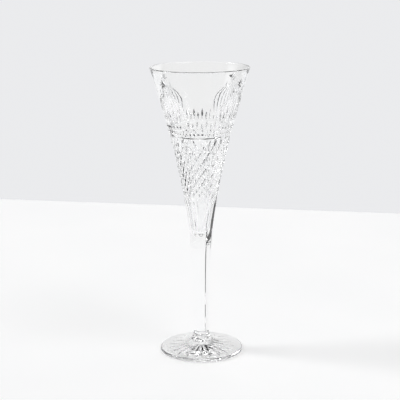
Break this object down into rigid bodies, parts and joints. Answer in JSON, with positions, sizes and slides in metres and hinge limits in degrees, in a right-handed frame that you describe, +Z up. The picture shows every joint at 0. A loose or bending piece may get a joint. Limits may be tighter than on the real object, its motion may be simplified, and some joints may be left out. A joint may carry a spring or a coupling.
{
  "type": "champagne flute",
  "caption": "Cut-crystal champagne flute: a trumpet-shaped bowl with a raised diamond band, a hexagonal stem and a star-cut foot, for serving sparkling wine.",
  "frame": {"origin": "centre of the plane that the foot rests on", "axes": "+Z up the flute's axis from foot to rim; +X and +Y across the flute, with two corners of the hexagonal stem on the X axis"},
  "size_m": [0.08, 0.08, 0.235],
  "materials": {
    "bowl_crystal": "clear polished crystal with bright mitre cuts",
    "stem_crystal": "clear polished crystal, flat cut panels",
    "collar_crystal": "clear fire-polished crystal",
    "foot_crystal": "clear polished crystal, star cut underneath, faintly scuffed resting ring"
  },
  "bodies": {
    "root": {"bowl": "bowl_crystal", "stem": "stem_crystal", "collar": "collar_crystal", "foot": "foot_crystal"}
  },
  "joints": []
}
